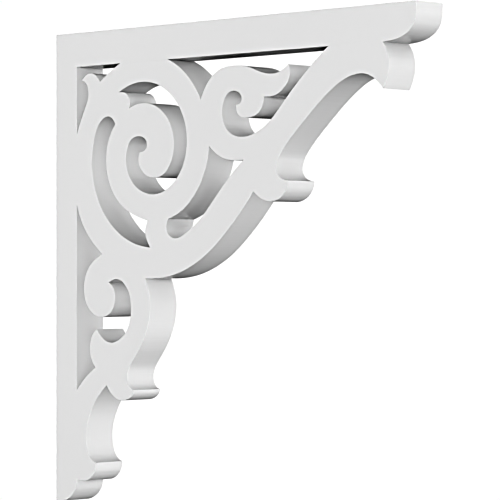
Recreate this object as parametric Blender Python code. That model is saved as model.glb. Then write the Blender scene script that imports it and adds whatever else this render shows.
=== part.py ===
"""Scrollwork bracket for a porch or gable, sawn in one piece from thick white cellular PVC board.

The upright edge goes against the wall and the top edge under the soffit. X runs out from the
wall, Y through the board's thickness and Z up. The origin is the middle of the face that is
fixed to the wall.
"""
import math

import bpy

# Driving dimensions, in millimetres
HEIGHT = 660         # down the wall
REACH = 675          # out from the wall, along the top
THICKNESS = 50       # of the board
RAIL = 47.5          # depth of the top rail
STILE = 43.5         # width of the upright along the wall

# Places in the outlines are millimetres out from the wall and up from the top edge, so that
# all the heights are negative. Headings are degrees, 0 away from the wall and 90 up.
WHORL = (189.5, -169.5)      # centre of the big whorl

MM = 0.001
SAME_PLACE = 1.0     # two ends of stretches nearer than this are one corner
CURVE_STEPS = 10     # straight facets to a curve between two knots

PVC_COLOUR = (0.80, 0.80, 0.79, 1.0)
PVC_ROUGHNESS = 0.45


def corner(out, up):
    """A corner with a straight side on both sides of it."""
    return [(out, up, 0)]


def volute(start, step, count, first, middle, last):
    """Knots round the whorl's centre, at equal steps of angle from the start.

    The radius runs smoothly from its first size over its middle one, half way round, to its
    last, and the heading at each knot follows from how fast the radius changes there.
    """
    slope = 4 * middle - 3 * first - last
    bend = 2 * (first + last) - 4 * middle
    sweep = math.radians(abs(step) * (count - 1))
    knots = []
    for index in range(count):
        along = index / (count - 1)
        radius = first + slope * along + bend * along ** 2
        rate = (slope + 2 * bend * along) / sweep
        angle = math.radians(start + index * step)
        out = WHORL[0] + radius * math.cos(angle)
        up = WHORL[1] + radius * math.sin(angle)
        sideways = math.degrees(math.atan2(radius, rate))
        heading = start + index * step + math.copysign(sideways, step)
        knots.append((out, up, heading))
    return knots


def eye(top, right, heel):
    """The round end of a spiral slot, from its top over its right side and back to its heel."""
    return [(*top, 0), (*right, 270), (*heel, 180)]


def cove(entry, throat, lip):
    """A hollow on the outer edge: into it, past its deepest place and out to the lip under it."""
    return [entry, (*throat, 270), lip]


def nosing(tip, belly, cusp, cusp_heading):
    """The round nose under a cove: a quarter of an ellipse from its tip down to its belly,
    then a rising curve back to the cusp where the next cove starts."""
    deep = tip[1] - belly[1]
    wide = tip[0] - belly[0]
    half = math.sqrt(0.5)
    shoulder = (belly[0] + half * wide, tip[1] - half * deep)
    shoulder_heading = 180 + math.degrees(math.atan2(deep, wide))
    return [(*tip, 268), (*shoulder, shoulder_heading), (*belly, 180), (*cusp, cusp_heading)]


def outer_edge():
    """The silhouette, from the top of the wall face clockwise."""
    rail_end = [(REACH, -13, 270), (660.5, -38, 213), (619.5, -RAIL, 183)]
    rail_drop = [(619.5, -RAIL, 309), (630, -76, 270), (620.5, -106, 241)]
    arm = [(620.5, -106, 130), (581.5, -85, 180), (541.5, -97, 210), (476.5, -147, 221)]
    arm_cove = cove((443, -180, 230), (434.5, -200.5), (455.5, -217, 356))
    belly = [(392.5, -230, 228), (346, -278.5, 222), (292.5, -319, 209), (238, -340, 192),
             (184.5, -344.5, 178)]
    knee = [(184.5, -344.5, 295), (194.5, -382, 270), (173, -441, 235)]
    knee_cove = cove((156.5, -461.5, 232), (148, -482), (161.5, -498, 353))
    ankle_cove = cove((79, -521, 237), (63, -566), (84, -602, 348))
    foot = [(44, -627.5, 272), (27, -654.5, 209), (6.5, -HEIGHT, 180)]
    return [
        corner(0, 0), corner(REACH, 0), rail_end, rail_drop,
        arm + arm_cove, nosing((455.5, -217), (423.5, -243.5), (392.5, -230), 138),
        belly, knee + knee_cove, nosing((161.5, -498), (136.5, -513), (106, -493), 121),
        [(106, -493, 220)] + ankle_cove, nosing((84, -602), (56.5, -628.5), (44, -627.5), 172),
        foot, corner(0, -HEIGHT),
    ]


def corner_opening():
    """In the angle of rail and stile, round the bud on the whorl's shoulder."""
    shoulder = [(133, -RAIL, 207), (92, -71, 214)]
    bud_top = [(92, -71, 124), (72, -58, 180), (53, -68, 224)]
    bud_side = [(53, -68, 8), (68, -85.5, 270), (62.5, -103.5, 241), (STILE, -144, 251)]
    return [corner(STILE, -RAIL), shoulder, bud_top, bud_side]


def rail_opening():
    """Under the rail: past the whorl, down the arm and round the small scroll with its leaf."""
    arm = [(526, -RAIL, 216), (465, -97.5, 223), (424.5, -136.5, 221), (398.5, -152, 201),
           (373.5, -157.5, 180), (342, -145.5, 130), (334, -122.5, 90)]
    scroll_end = [(360.5, -114.5, 262), (365, -128.5, 320), (379, -132.5, 0), (401.5, -127, 36),
                  (411.5, -106.5, 92)]
    leaf = [(411.5, -106.5, 358), (425.5, -106.5, 6), (446, -98, 38), (459, -76.5, 90),
            (456, -66.5, 117)]
    scroll_back = [(456, -66.5, 217), (427.5, -77, 180), (400.5, -72, 161), (379, -65, 168),
                   (357.5, -63, 180), (325, -68.5, 207), (304, -86, 233), (293.5, -104.5, 248)]
    return [
        volute(32, 19.9, 3, 122.5, 125.5, 128.5),
        arm + eye((355, -96), (370.5, -107.5), (360.5, -114.5)),
        scroll_end, leaf, scroll_back,
    ]


def whorl_opening():
    """The spiral slot of the big whorl, from its leaf tip inwards and out again."""
    outside = volute(125, -45, 8, 100.5, 70, 41)
    hook = [(173, -171.5, 248), (170.5, -182, 270)]
    inside = volute(-120, 40.4, 3, 28.5, 37.5, 47)[:-1] + volute(-39.2, 40.4, 5, 47, 57, 70)
    leaf = [(152, -110.5, 72), (153.5, -103, 90), (146, -90, 145), (131.5, -87, 180)]
    return [outside + eye((170, -149.5), (188, -161.5), (173, -171.5)), hook + inside, leaf]


def crescent_opening():
    """The long slot that wraps the whorl on the wall's side."""
    head = [(123.5, -131.5, 110), (108.5, -120, 180), (89, -131, 232)]
    outside = volute(172, 25, 5, 111.5, 122.5, 132.5)
    tail = [(194, -302, 122), (184.5, -280.5, 90), (189, -265, 72)]
    inside = volute(246, -24, 5, 91.5, 87.5, 76)
    return [head + outside, tail, [(189, -265, 168)] + inside]


def arm_opening():
    """Between the whorl and the arm, under the small scroll."""
    scroll = [(309.5, -167.5, 316), (330, -182, 335), (357.5, -188, 358), (373.5, -188, 2)]
    arm = [(373.5, -188, 220), (352, -206, 222), (325, -232, 225), (292.5, -264.5, 221),
           (265.5, -282.5, 208), (244.5, -290, 180), (226.5, -275, 90), (229.5, -264, 70)]
    return [volute(-67, 22.7, 4, 102.5, 111.5, 120), scroll, arm]


def stile_opening():
    """Along the stile, round the lower scroll and its leaf."""
    shoulder = [(STILE, -239.5, 290), (54, -266, 299), (70.5, -288, 312), (97, -311, 322)]
    bulb = [(97, -311, 198), (66, -333.5, 237), (58.5, -360.5, 270), (66, -383.5, 307),
            (94.5, -398.5, 0), (113.5, -392.5, 38), (123.5, -371, 90), (110, -350.5, 160)]
    hollow = [(110, -350.5, 27), (125.5, -345.5, 0), (145.5, -355.5, 312), (156, -386.5, 270),
              (149.5, -413, 240), (134.5, -427.5, 212), (115, -433.5, 180), (97.5, -427.5, 145),
              (85.5, -415.5, 127)]
    leaf = [(85.5, -415.5, 212), (76, -424, 236), (71, -441.5, 270), (74.5, -458, 298),
            (83, -469, 315)]
    ankle = [(83, -469, 212), (59.5, -485.5, 221), (STILE, -502.5, 232)]
    return [shoulder, bulb, hollow, leaf, ankle]


def handles_between(start, end):
    """Handles of the curve between two knots, exact for an arc and close to one otherwise."""
    chord = math.dist(start[:2], end[:2])
    turn = (end[2] - start[2] + 180) % 360 - 180
    length = chord / (3 * math.cos(math.radians(turn / 4)) ** 2)
    handles = []
    for knot, sign in ((start, 1), (end, -1)):
        heading = math.radians(knot[2])
        handles.append((knot[0] + sign * length * math.cos(heading),
                        knot[1] + sign * length * math.sin(heading)))
    return handles


def bezier_points(stretches):
    """Place, handle before and handle after of every point of a closed outline.

    Stretches that end and start at one place share a corner there. Where they don't, a
    straight side joins them, and a handle that is None stands for it.
    """
    points = []
    for stretch in stretches:
        fresh = [[knot[:2], None, None] for knot in stretch]
        for index in range(len(stretch) - 1):
            after, before = handles_between(stretch[index], stretch[index + 1])
            fresh[index][2] = after
            fresh[index + 1][1] = before
        if points and math.dist(points[-1][0], fresh[0][0]) < SAME_PLACE:
            fresh[0][1] = points.pop()[1]
        points += fresh
    if math.dist(points[-1][0], points[0][0]) < SAME_PLACE:
        points[0][1] = points.pop()[1]
    return points


def add_outline(curve, stretches):
    """Add one closed Bezier spline to the flat curve."""
    points = bezier_points(stretches)
    spline = curve.splines.new("BEZIER")
    spline.bezier_points.add(len(points) - 1)
    spline.resolution_u = CURVE_STEPS
    spline.use_cyclic_u = True
    for bezier, (place, before, after) in zip(spline.bezier_points, points):
        bezier.co = (place[0] * MM, place[1] * MM, 0)
        bezier.handle_left_type = "VECTOR" if before is None else "FREE"
        bezier.handle_right_type = "VECTOR" if after is None else "FREE"
        if before is not None:
            bezier.handle_left = (before[0] * MM, before[1] * MM, 0)
        if after is not None:
            bezier.handle_right = (after[0] * MM, after[1] * MM, 0)


def pvc():
    """Smooth matt white cellular PVC."""
    material = bpy.data.materials.new("white_pvc")
    material.use_nodes = True
    shader = material.node_tree.nodes["Principled BSDF"]
    shader.inputs["Base Color"].default_value = PVC_COLOUR
    shader.inputs["Roughness"].default_value = PVC_ROUGHNESS
    shader.inputs["Metallic"].default_value = 0.0
    return material


def bracket(collection):
    """The sawn board: a flat outline with its openings, given the board's thickness."""
    curve = bpy.data.curves.new("scroll_bracket", "CURVE")
    curve.dimensions = "2D"
    curve.fill_mode = "BOTH"
    curve.extrude = THICKNESS / 2 * MM
    for stretches in (outer_edge(), corner_opening(), rail_opening(), whorl_opening(),
                      crescent_opening(), arm_opening(), stile_opening()):
        add_outline(curve, stretches)
    curve.materials.append(pvc())
    board = bpy.data.objects.new("scroll_bracket", curve)
    collection.objects.link(board)
    board.rotation_euler = (math.radians(90), 0, 0)
    board.location = (0, 0, HEIGHT / 2 * MM)
    return board


for leftover in list(bpy.data.objects):
    bpy.data.objects.remove(leftover)
parts = bpy.data.collections.new("pvc_bracket")
bpy.context.scene.collection.children.link(parts)
bracket(parts)
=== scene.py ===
"""The looks of a scrollwork corner bracket: its white PVC, a pale floor, soft light and a camera."""
import math

import bmesh
import bpy
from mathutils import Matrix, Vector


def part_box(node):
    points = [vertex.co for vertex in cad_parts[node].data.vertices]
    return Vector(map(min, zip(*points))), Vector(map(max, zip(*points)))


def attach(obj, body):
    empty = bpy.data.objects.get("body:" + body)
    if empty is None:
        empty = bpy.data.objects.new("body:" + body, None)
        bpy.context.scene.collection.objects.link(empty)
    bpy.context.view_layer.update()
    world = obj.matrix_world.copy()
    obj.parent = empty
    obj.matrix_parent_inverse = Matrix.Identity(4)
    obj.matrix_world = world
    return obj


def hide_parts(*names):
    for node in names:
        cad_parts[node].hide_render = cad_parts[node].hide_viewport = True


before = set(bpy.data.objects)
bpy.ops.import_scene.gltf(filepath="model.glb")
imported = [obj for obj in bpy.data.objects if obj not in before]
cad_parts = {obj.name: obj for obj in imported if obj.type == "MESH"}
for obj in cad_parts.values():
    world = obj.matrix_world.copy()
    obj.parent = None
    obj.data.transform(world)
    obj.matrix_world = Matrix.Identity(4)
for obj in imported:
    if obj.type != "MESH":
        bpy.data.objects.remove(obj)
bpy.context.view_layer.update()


# The board: the whole bracket is one piece of thick white cellular PVC. The scrollwork is routed
# straight through it, and a light rub with fine paper has taken the sharpness off its edges.
# It has no joint lines, screws or paint.
LOW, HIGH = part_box("scroll_bracket")
HALF_THICKNESS = (HIGH.y - LOW.y) / 2
SAME_POINT = 0.00001           # metres: corners of the solid's triangles nearer than this are one
SAME_EASED_POINT = 0.000002    # metres: the same on the eased board, which has finer facets
FLAT = 0.99                    # how far along Y the normal of one of the flat faces points
ARRIS = 0.0005                 # metres: the width of the eased edges
CREASE = math.radians(48)      # edges that turn by more than this stay crisp

DEEP_TINT = (0.80, 0.80, 0.80, 1)
PALE_TINT = (0.82, 0.82, 0.82, 1)
CLOUD_SCALE = 7
CLOUD_DETAIL = 3
SKIN_GRAIN = (900, 900, 900)      # to a metre along X, Y and Z
CUTTER_STREAKS = (260, 4, 260)    # the same, drawn out through the board's thickness
SKIN_DEPTH = 0.000006
STREAK_DEPTH = 0.00014
SMOOTHEST = 0.18
SKIN_ROUGHEST = 0.26
CUT_ROUGHEST = 0.30


def take_up(piece):
    """Select one piece alone and make it the active one."""
    bpy.ops.object.select_all(action="DESELECT")
    piece.select_set(True)
    bpy.context.view_layer.objects.active = piece


def tip(degrees):
    """Turn what is selected in edit mode about the X axis: 90 lays it flat, -90 stands it up."""
    bpy.ops.transform.rotate(value=math.radians(degrees), orient_axis="X",
                             center_override=(0, 0, 0))


def marked_out_board():
    """The outline of the board and its openings, taken off the front face and laid down flat."""
    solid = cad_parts["scroll_bracket"]
    board = bpy.data.objects.new("bracket_board", solid.data.copy())
    bpy.context.scene.collection.objects.link(board)
    take_up(board)
    bpy.ops.object.mode_set(mode="EDIT")
    bpy.ops.mesh.select_mode(type="FACE")
    bpy.ops.mesh.select_all(action="SELECT")
    bpy.ops.mesh.remove_doubles(threshold=SAME_POINT)
    shape = bmesh.from_edit_mesh(board.data)
    for face in shape.faces:
        face.select_set(face.normal.y > -FLAT)
    bmesh.update_edit_mesh(board.data)
    bpy.ops.mesh.delete(type="FACE")
    bpy.ops.mesh.select_all(action="SELECT")
    bpy.ops.mesh.region_to_loop()
    bpy.ops.mesh.select_all(action="INVERT")
    bpy.ops.mesh.delete(type="EDGE_FACE")
    bpy.ops.mesh.select_all(action="SELECT")
    bpy.ops.transform.translate(value=(0, HALF_THICKNESS, 0))
    tip(90)
    bpy.ops.object.mode_set(mode="OBJECT")
    bpy.ops.object.convert(target="CURVE")
    return board


def rout_and_ease(board):
    """Give the outline the board's thickness, with both its edges eased, and stand it up."""
    outline = board.data
    outline.dimensions = "2D"
    outline.fill_mode = "BOTH"
    outline.bevel_depth = ARRIS
    outline.bevel_resolution = 1
    outline.offset = -ARRIS
    outline.extrude = HALF_THICKNESS - ARRIS
    bpy.ops.object.convert(target="MESH")
    bpy.ops.object.mode_set(mode="EDIT")
    bpy.ops.mesh.select_all(action="SELECT")
    bpy.ops.mesh.remove_doubles(threshold=SAME_EASED_POINT)
    tip(-90)
    bpy.ops.object.mode_set(mode="OBJECT")
    bpy.ops.object.shade_smooth_by_angle(angle=CREASE)
    keep_flat = board.modifiers.new("flat faces", "WEIGHTED_NORMAL")
    keep_flat.keep_sharp = True
    bpy.ops.object.modifier_apply(modifier=keep_flat.name)


def white_pvc(name, grain_scale, grain_depth, roughest):
    """Satin white PVC: almost one tone all over, with a fine grain in its gloss and its surface."""
    material = bpy.data.materials.new(name)
    material.use_nodes = True
    nodes = material.node_tree.nodes
    link = material.node_tree.links.new
    shader = nodes["Principled BSDF"]
    place = nodes.new("ShaderNodeTexCoord")

    cloud = nodes.new("ShaderNodeTexNoise")
    cloud.inputs["Scale"].default_value = CLOUD_SCALE
    cloud.inputs["Detail"].default_value = CLOUD_DETAIL
    link(place.outputs["Object"], cloud.inputs["Vector"])
    tint = nodes.new("ShaderNodeMix")
    tint.data_type = "RGBA"
    tint.inputs["A"].default_value = DEEP_TINT
    tint.inputs["B"].default_value = PALE_TINT
    link(cloud.outputs["Fac"], tint.inputs["Factor"])
    link(tint.outputs["Result"], shader.inputs["Base Color"])

    run = nodes.new("ShaderNodeMapping")
    run.inputs["Scale"].default_value = grain_scale
    link(place.outputs["Object"], run.inputs["Vector"])
    grain = nodes.new("ShaderNodeTexNoise")
    grain.inputs["Scale"].default_value = 1
    link(run.outputs["Vector"], grain.inputs["Vector"])
    rough = nodes.new("ShaderNodeMapRange")
    rough.inputs["To Min"].default_value = SMOOTHEST
    rough.inputs["To Max"].default_value = roughest
    link(grain.outputs["Fac"], rough.inputs["Value"])
    link(rough.outputs["Result"], shader.inputs["Roughness"])
    bump = nodes.new("ShaderNodeBump")
    bump.inputs["Distance"].default_value = grain_depth
    link(grain.outputs["Fac"], bump.inputs["Height"])
    link(bump.outputs["Normal"], shader.inputs["Normal"])
    return material


def finish_board(board):
    """The flat faces keep the sheet's own skin, and all that the cutter made has its fine streaks."""
    skin = white_pvc("pvc_skin", SKIN_GRAIN, SKIN_DEPTH, SKIN_ROUGHEST)
    routed = white_pvc("routed_pvc", CUTTER_STREAKS, STREAK_DEPTH, CUT_ROUGHEST)
    board.data.materials.clear()
    board.data.materials.append(skin)
    board.data.materials.append(routed)
    for face in board.data.polygons:
        face.material_index = 0 if abs(face.normal.y) > FLAT else 1


board = marked_out_board()
rout_and_ease(board)
finish_board(board)
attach(board, "root")
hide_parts("scroll_bracket")


# The floor: a plain pale sheet well below the bracket, which hangs clear of it. Like a light table,
# it glows as evenly white as the studio behind, and lets the low soft boxes shine through.
FLOOR_DROP = 0.6
FLOOR_RADIUS = 30
FLOOR_SIDES = 96
BLACK = (0, 0, 0, 1)
WHITE = (1, 1, 1, 1)
STUDIO_WHITE = 1.03


def pale_floor():
    """A round sheet that casts neither light nor shadow on the bracket."""
    bpy.ops.mesh.primitive_circle_add(vertices=FLOOR_SIDES, radius=FLOOR_RADIUS, fill_type="NGON",
                                      location=(0, 0, LOW.z - FLOOR_DROP))
    floor = bpy.context.active_object
    floor.name = "floor"
    material = bpy.data.materials.new("pale_floor")
    material.use_nodes = True
    shader = material.node_tree.nodes["Principled BSDF"]
    shader.inputs["Base Color"].default_value = BLACK
    shader.inputs["Specular IOR Level"].default_value = 0
    shader.inputs["Emission Color"].default_value = WHITE
    shader.inputs["Emission Strength"].default_value = STUDIO_WHITE
    floor.data.materials.append(material)
    floor.visible_diffuse = False
    floor.visible_glossy = False
    floor.visible_shadow = False


pale_floor()


# The light: a small key lamp with a big box round it at the front right, six like soft boxes high
# and low round the right side, and a few more about level. All are far off, in a studio that looks
# white but sheds no light. Those at the front right and the two fills leave no glare in the gloss.
MIDDLE = (LOW + HIGH) / 2
BOX_SIZE = 6
LAMP_SIZE = 1.5
BOX_DISTANCE = 12
KEY_POWER = 800
SIDE_POWER = 150
FILL_POWER = 600
SQUARE_TO_THE_RIGHT = 90


def soft_box(name, azimuth, elevation, power, size=BOX_SIZE, in_gloss=False):
    """A square light that faces the bracket's middle. Azimuth 0 is in front, 90 is at the right."""
    around = math.radians(azimuth)
    up = math.radians(elevation)
    away = (math.sin(around) * math.cos(up), -math.cos(around) * math.cos(up), math.sin(up))
    data = bpy.data.lights.new(name, "AREA")
    data.shape = "SQUARE"
    data.size = size
    data.energy = power
    lamp = bpy.data.objects.new(name, data)
    lamp.location = [MIDDLE[axis] + away[axis] * BOX_DISTANCE for axis in range(3)]
    toward = MIDDLE - lamp.location
    lamp.rotation_euler = toward.to_track_quat("-Z", "Y").to_euler()
    lamp.visible_camera = False
    lamp.visible_glossy = in_gloss
    bpy.context.scene.collection.objects.link(lamp)


def white_surround():
    """White behind the bracket where the camera looks, and black to all else."""
    world = bpy.data.worlds.new("surround")
    bpy.context.scene.world = world
    world.use_nodes = True
    nodes = world.node_tree.nodes
    link = world.node_tree.links.new
    seen = nodes["Background"]
    seen.inputs["Color"].default_value = WHITE
    seen.inputs["Strength"].default_value = STUDIO_WHITE
    unseen = nodes.new("ShaderNodeBackground")
    unseen.inputs["Strength"].default_value = 0
    path = nodes.new("ShaderNodeLightPath")
    choose = nodes.new("ShaderNodeMixShader")
    link(path.outputs["Is Camera Ray"], choose.inputs["Fac"])
    link(unseen.outputs["Background"], choose.inputs[1])
    link(seen.outputs["Background"], choose.inputs[2])
    link(choose.outputs["Shader"], nodes["World Output"].inputs["Surface"])


soft_box("key lamp", 30, 5, KEY_POWER, LAMP_SIZE)
soft_box("key box", 30, 5, KEY_POWER / 2)
soft_box("front box", 50, -10, KEY_POWER / 4)
for azimuth in (50, 100, 135):
    for elevation in (-35, 45):
        behind = azimuth > SQUARE_TO_THE_RIGHT
        soft_box("side box", azimuth, elevation, SIDE_POWER, in_gloss=behind)
soft_box("left box", -60, 5, SIDE_POWER, in_gloss=True)
soft_box("right box", 110, 0, KEY_POWER / 4, in_gloss=True)
soft_box("back box", 160, 5, KEY_POWER / 2, in_gloss=True)
soft_box("back fill box", 215, 10, FILL_POWER)
soft_box("wall fill box", 250, 10, FILL_POWER)
white_surround()
# The photo's hollows and undersides are as dark as with no light passed on between white surfaces.
bpy.context.scene.cycles.diffuse_bounces = 0
bpy.context.scene.view_settings.view_transform = "Standard"


# The camera: level with the bracket's middle, turned 45 degrees from its face, with a long lens.
# The distance, the lens and the small shift of the picture follow from the photo's perspective.
LEVEL = math.radians(90)
VIEW_TURN = math.radians(45)
VIEW_DISTANCE = 3.4535
LENS = 186.6
SHIFT_RIGHT = 0.0258
SHIFT_UP = 0.0358


def camera():
    """Stand the camera at the photograph's place and make it the scene's own."""
    data = bpy.data.cameras.new("camera")
    data.lens = LENS
    data.shift_x = SHIFT_RIGHT
    data.shift_y = SHIFT_UP
    view = bpy.data.objects.new("camera", data)
    view.location = (MIDDLE.x + VIEW_DISTANCE * math.sin(VIEW_TURN),
                     MIDDLE.y - VIEW_DISTANCE * math.cos(VIEW_TURN), MIDDLE.z)
    view.rotation_euler = (LEVEL, 0, VIEW_TURN)
    bpy.context.scene.collection.objects.link(view)
    bpy.context.scene.camera = view


camera()


# The picture's finish: the photo looks lightly sharpened, with a thin pale rim and a thin dark rim
# along each edge. The render gets the same: a share of what differs from its own blur is added.
DISPLAY_GAMMA = 2.2
BLUR_SIZE = 6
SHARPENING = 0.5


def with_gamma(tree, picture, gamma):
    """The picture with its tones bent by a gamma."""
    bend = tree.nodes.new("CompositorNodeGamma")
    bend.inputs["Gamma"].default_value = gamma
    tree.links.new(picture, bend.inputs["Image"])
    return bend.outputs["Image"]


def joined(tree, how, first, second, share=1):
    """The first picture with a share of the second added to it or taken from it."""
    join = tree.nodes.new("CompositorNodeMixRGB")
    join.blend_type = how
    join.inputs[0].default_value = share
    tree.links.new(first, join.inputs[1])
    tree.links.new(second, join.inputs[2])
    return join.outputs["Image"]


def sharpen_picture():
    """Sharpen the render in the tones that the screen shows."""
    bpy.context.scene.use_nodes = True
    tree = bpy.context.scene.node_tree
    tree.nodes.clear()
    render = tree.nodes.new("CompositorNodeRLayers")
    as_shown = with_gamma(tree, render.outputs["Image"], 1 / DISPLAY_GAMMA)
    blur = tree.nodes.new("CompositorNodeBlur")
    blur.filter_type = "GAUSS"
    blur.size_x = BLUR_SIZE
    blur.size_y = BLUR_SIZE
    tree.links.new(as_shown, blur.inputs["Image"])
    detail = joined(tree, "SUBTRACT", as_shown, blur.outputs["Image"])
    crisp = joined(tree, "ADD", as_shown, detail, SHARPENING)
    finished = tree.nodes.new("CompositorNodeComposite")
    tree.links.new(with_gamma(tree, crisp, DISPLAY_GAMMA), finished.inputs["Image"])


sharpen_picture()
